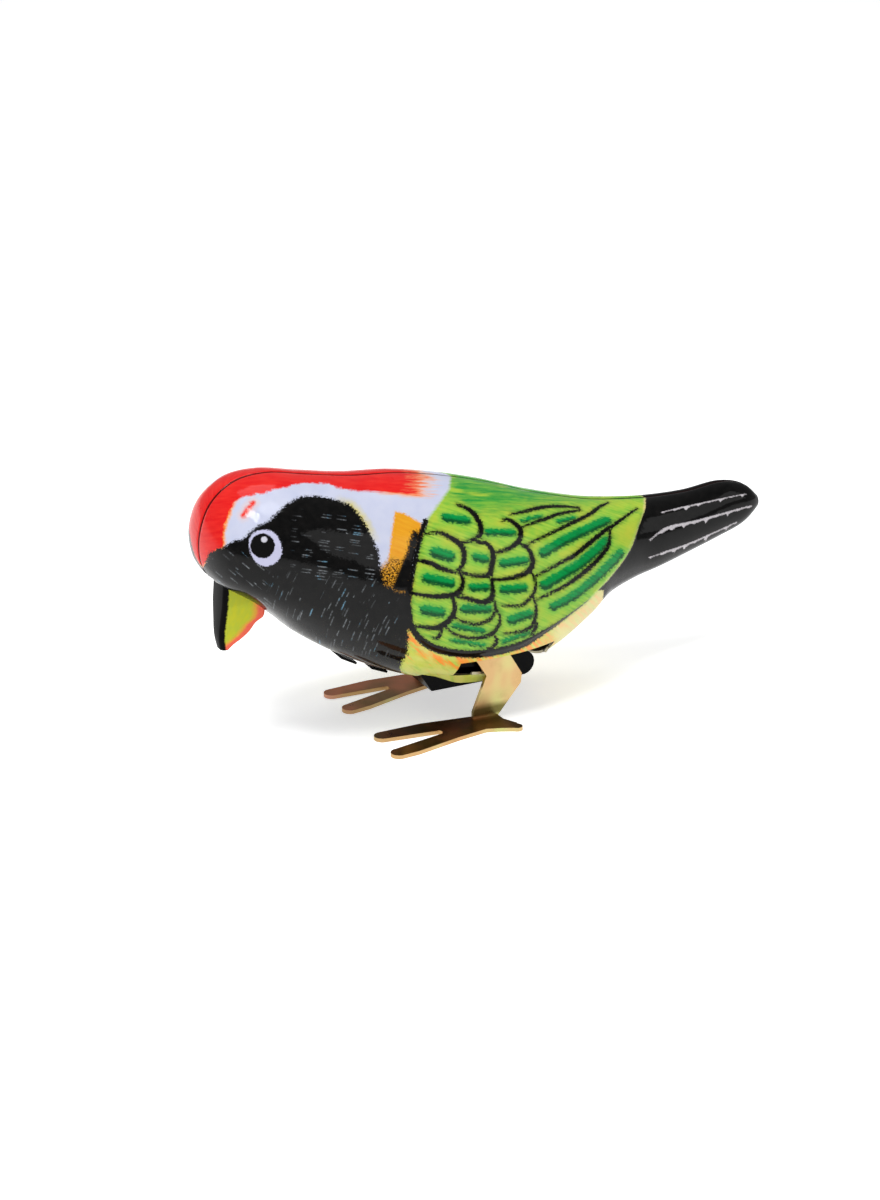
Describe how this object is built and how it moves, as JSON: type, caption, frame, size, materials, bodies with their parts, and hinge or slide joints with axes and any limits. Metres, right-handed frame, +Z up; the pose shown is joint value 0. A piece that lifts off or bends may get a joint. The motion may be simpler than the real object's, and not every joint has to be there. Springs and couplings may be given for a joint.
{
  "type": "wind-up bird toy",
  "caption": "Wind-up tin bird: two pressed halves round a geared clockwork that rocks two strip-steel legs, wound by a butterfly key.",
  "frame": {"origin": "on the floor, under the middle of the whole toy's box", "axes": "-X is the way the bird faces, +Y its right side, where the key is, and +Z is up"},
  "size_m": [0.1066, 0.0506, 0.0461],
  "materials": {
    "printed_tin": "printed and lacquered tin plate, glossy",
    "beak_tin": "printed and lacquered tin plate, glossy",
    "black_paint": "black lacquered steel plate",
    "passivated_steel": "yellow passivated zinc on steel strip, iridescent",
    "key_steel": "bright nickel-plated steel",
    "steel": "plain turned and stamped steel",
    "spring_steel": "blued spring steel",
    "brass": "stamped brass"
  },
  "bodies": {
    "frame": {"left_shell": "printed_tin", "right_shell": "printed_tin", "seam_tabs": "printed_tin", "beak": "beak_tin", "key_eyelet": "brass", "left_plate": "black_paint", "right_plate": "black_paint", "base_plate": "black_paint", "frame_pillars": "steel", "pillar_rivets": "steel", "mainspring": "spring_steel", "leg_axle": "steel", "leg_washers": "steel"},
    "key": {"wind_key": "key_steel", "winding_arbor": "steel", "ratchet_wheel": "brass"},
    "great_wheel": {"great_wheel": "brass", "click_pin": "steel", "click_spring": "spring_steel"},
    "click": {"click": "steel"},
    "second_shaft": {"second_shaft": "steel", "second_pinion": "brass", "second_wheel": "brass"},
    "crank_shaft": {"crank_shaft": "steel", "crank_pinion": "brass", "third_wheel": "brass", "left_crank": "steel", "right_crank": "steel"},
    "escape_shaft": {"escape_shaft": "steel", "escape_pinion": "brass", "escape_wheel": "brass"},
    "verge": {"verge_shaft": "steel", "verge": "brass"},
    "left_leg": {"left_leg": "passivated_steel"},
    "right_leg": {"right_leg": "passivated_steel"}
  },
  "joints": [
    {"name": "key_turn", "type": "hinge", "parent": "frame", "child": "key", "pos_m": [-0.00598, -0.0057, 0.0225], "axis": [0, 1, 0], "continuous": true, "deforming": ["mainspring"]},
    {"name": "great_wheel_turn", "type": "hinge", "parent": "frame", "child": "great_wheel", "pos_m": [-0.00598, -0.0057, 0.0225], "axis": [0, 1, 0], "continuous": true},
    {"name": "click_lift", "type": "hinge", "parent": "great_wheel", "child": "click", "pos_m": [-0.00251, -0.0057, 0.02664], "axis": [0, 1, 0], "range_deg": [0, 12], "stiffness_Nm_per_rad": 0.0002, "deforming": ["click_spring"]},
    {"name": "second_shaft_turn", "type": "hinge", "parent": "frame", "child": "second_shaft", "pos_m": [0.0027, -0.0057, 0.0249], "axis": [0, 1, 0], "continuous": true},
    {"name": "crank_shaft_turn", "type": "hinge", "parent": "frame", "child": "crank_shaft", "pos_m": [0.00142, -0.0057, 0.017], "axis": [0, 1, 0], "continuous": true},
    {"name": "escape_shaft_turn", "type": "hinge", "parent": "frame", "child": "escape_shaft", "pos_m": [0.00744, -0.0057, 0.01481], "axis": [0, 1, 0], "continuous": true},
    {"name": "verge_rock", "type": "hinge", "parent": "frame", "child": "verge", "pos_m": [0.01184, -0.0057, 0.01781], "axis": [0, 1, 0], "range_deg": [-5, 5]},
    {"name": "left_leg_rock", "type": "hinge", "parent": "frame", "child": "left_leg", "pos_m": [-0.00798, -0.0057, 0.0154], "axis": [0, 1, 0], "range_deg": [-6.5, 6.5]},
    {"name": "right_leg_rock", "type": "hinge", "parent": "frame", "child": "right_leg", "pos_m": [-0.00798, -0.0057, 0.0154], "axis": [0, 1, 0], "range_deg": [-6.5, 6.5]}
  ],
  "couplings": [
    {"joint": "great_wheel_turn", "follows": "key_turn", "ratio": 1},
    {"joint": "second_shaft_turn", "follows": "key_turn", "ratio": -4},
    {"joint": "crank_shaft_turn", "follows": "key_turn", "ratio": 12},
    {"joint": "escape_shaft_turn", "follows": "key_turn", "ratio": -36},
    {"joint": "right_leg_rock", "follows": "left_leg_rock", "ratio": 1}
  ]
}
